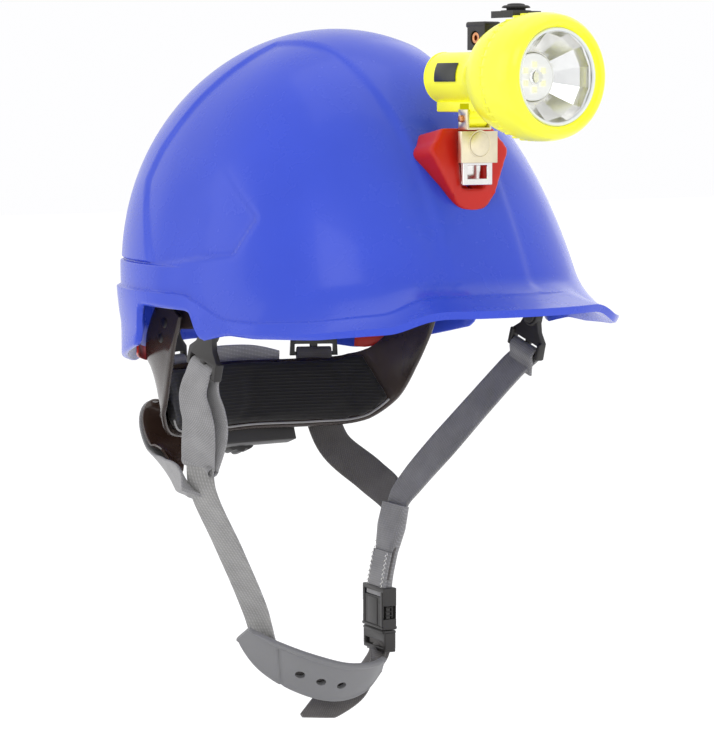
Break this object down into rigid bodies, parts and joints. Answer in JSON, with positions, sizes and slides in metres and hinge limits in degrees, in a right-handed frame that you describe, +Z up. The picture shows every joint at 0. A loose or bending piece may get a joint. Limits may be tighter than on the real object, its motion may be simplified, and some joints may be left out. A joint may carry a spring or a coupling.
{
  "type": "miner's cap lamp",
  "caption": "Miner's safety helmet with a clip-on yellow cordless cap lamp on its front bracket, adjustable headband and webbing chin harness with side-release buckle",
  "frame": {"origin": "centre of the shell's rim plane, in the middle of the space for the head", "axes": "front of the helmet, where the lamp points, towards -Y; +Z up; +X towards the wearer's left"},
  "size_m": [0.2232, 0.3008, 0.379],
  "materials": {
    "shell": "glossy moulded blue",
    "red_plastic": "satin moulded red",
    "zinc_steel": "yellow zinc plating",
    "bright_steel": "polished steel",
    "yellow_plastic": "glossy moulded fluorescent yellow",
    "clear_plastic": "clear polycarbonate",
    "reflector_chrome": "vacuum-plated mirror",
    "black_plastic": "fine-grained moulded black",
    "driver_board": "coated circuit board",
    "black_rubber": "soft matt rubber",
    "pad_foam": "ribbed soft foam skin",
    "smoked_plastic": "translucent smoked brown",
    "webbing": "grey woven polyester webbing",
    "cup_rubber": "soft grey rubber",
    "band_plastic": "satin dark-brown plastic",
    "led_board": "white solder mask",
    "copper": "copper plating",
    "alloy": "plain aluminium"
  },
  "bodies": {
    "root": {"shell": "shell", "rim_liner_left": "red_plastic", "rim_liner_right": "red_plastic", "bracket_pad": "red_plastic", "hook_peg_front_left": "black_plastic", "hook_peg_front_right": "black_plastic", "hook_peg_rear_left": "black_plastic", "hook_peg_rear_right": "black_plastic", "buckle_female": "black_plastic", "brow_pad": "pad_foam", "crown_clip_1": "smoked_plastic", "crown_clip_2": "smoked_plastic", "crown_clip_3": "smoked_plastic", "crown_clip_4": "smoked_plastic", "crown_strap_1": "webbing", "crown_strap_2": "webbing", "strap_front_left": "webbing", "strap_rear_left": "webbing", "strap_front_right": "webbing", "strap_rear_right": "webbing", "nape_strap": "webbing", "strap_lower_right": "webbing", "strap_lower_left": "webbing", "headband": "band_plastic"},
    "clip": {"clip_plate": "zinc_steel", "clip_tongue": "bright_steel", "clip_spring": "bright_steel", "hinge_bracket": "zinc_steel", "hinge_pin": "bright_steel"},
    "lamp": {"lamp_housing": "yellow_plastic", "battery_cell": "alloy", "battery_spring": "copper", "driver_board": "driver_board", "heat_sink": "alloy", "led_board": "led_board", "led_dome": "clear_plastic", "reflector": "reflector_chrome", "switch_base": "black_plastic", "charge_socket": "black_plastic", "charge_contact": "copper", "label_plate": "black_plastic"},
    "bezel": {"bezel_ring": "yellow_plastic", "lens": "clear_plastic", "lens_gasket": "black_rubber"},
    "switch": {"switch_button": "black_rubber"},
    "nape": {"nape_band": "band_plastic", "nape_pad": "pad_foam", "ratchet_housing": "black_plastic"},
    "knob": {"ratchet_knob": "black_plastic", "ratchet_pinion": "bright_steel"},
    "rack_left": {"rack_left": "black_plastic"},
    "rack_right": {"rack_right": "black_plastic"},
    "chin": {"buckle_male": "black_plastic", "strap_tail": "webbing", "chin_cup": "cup_rubber", "cup_strap": "webbing"},
    "hook_front_left": {"strap_hook_front_left": "black_plastic"},
    "hook_front_right": {"strap_hook_front_right": "black_plastic"},
    "hook_rear_left": {"strap_hook_rear_left": "black_plastic"},
    "hook_rear_right": {"strap_hook_rear_right": "black_plastic"}
  },
  "joints": [
    {"name": "clip_slide", "type": "slide", "parent": "root", "child": "clip", "axis": [0, 0, 1], "range_m": [0, 0.024]},
    {"name": "lamp_tilt", "type": "hinge", "parent": "clip", "child": "lamp", "pos_m": [0, -0.093, 0.107], "axis": [1, 0, 0], "range_deg": [-12, 30]},
    {"name": "bezel_turn", "type": "hinge", "parent": "lamp", "child": "bezel", "pos_m": [0, -0.15, 0.127], "axis": [0, -1, 0], "range_deg": [0, 90]},
    {"name": "switch_press", "type": "slide", "parent": "lamp", "child": "switch", "axis": [0, 0, -1], "range_m": [0, 0.0011], "stiffness_N_per_m": 300},
    {"name": "knob_turn", "type": "hinge", "parent": "nape", "child": "knob", "pos_m": [0, 0.1215, -0.06326], "axis": [0, 0.9397, -0.342], "range_deg": [-144, 0]},
    {"name": "nape_slide", "type": "slide", "parent": "root", "child": "nape", "axis": [0, 1, 0], "range_m": [-0.015, 0]},
    {"name": "rack_left_slide", "type": "slide", "parent": "nape", "child": "rack_left", "axis": [1, 0, 0], "range_m": [-0.015, 0]},
    {"name": "rack_right_slide", "type": "slide", "parent": "nape", "child": "rack_right", "axis": [-1, 0, 0], "range_m": [-0.015, 0]},
    {"name": "buckle_release", "type": "slide", "parent": "root", "child": "chin", "axis": [0, 0, -1], "range_m": [0, 0.014], "deforming": ["strap_lower_right"]},
    {"name": "swing_front_left", "type": "hinge", "parent": "root", "child": "hook_front_left", "pos_m": [0.10153, -0.0124, 0.00189], "axis": [1, 0, 0], "range_deg": [-10, 10], "deforming": ["strap_front_left"]},
    {"name": "swing_front_right", "type": "hinge", "parent": "root", "child": "hook_front_right", "pos_m": [-0.10153, -0.0124, 0.00189], "axis": [1, 0, 0], "range_deg": [-10, 10], "deforming": ["strap_front_right"]},
    {"name": "swing_rear_left", "type": "hinge", "parent": "root", "child": "hook_rear_left", "pos_m": [0.04607, 0.1143, -0.00538], "axis": [0.4436, 0.8962, 0], "range_deg": [-10, 10], "deforming": ["strap_rear_left"]},
    {"name": "swing_rear_right", "type": "hinge", "parent": "root", "child": "hook_rear_right", "pos_m": [-0.04607, 0.1143, -0.00538], "axis": [-0.4436, 0.8962, 0], "range_deg": [-10, 10], "deforming": ["strap_rear_right"]}
  ],
  "couplings": [
    {"joint": "knob_turn", "follows": "nape_slide", "rad_per_m": 166.67},
    {"joint": "rack_left_slide", "follows": "nape_slide", "ratio": 1},
    {"joint": "rack_right_slide", "follows": "nape_slide", "ratio": 1}
  ]
}
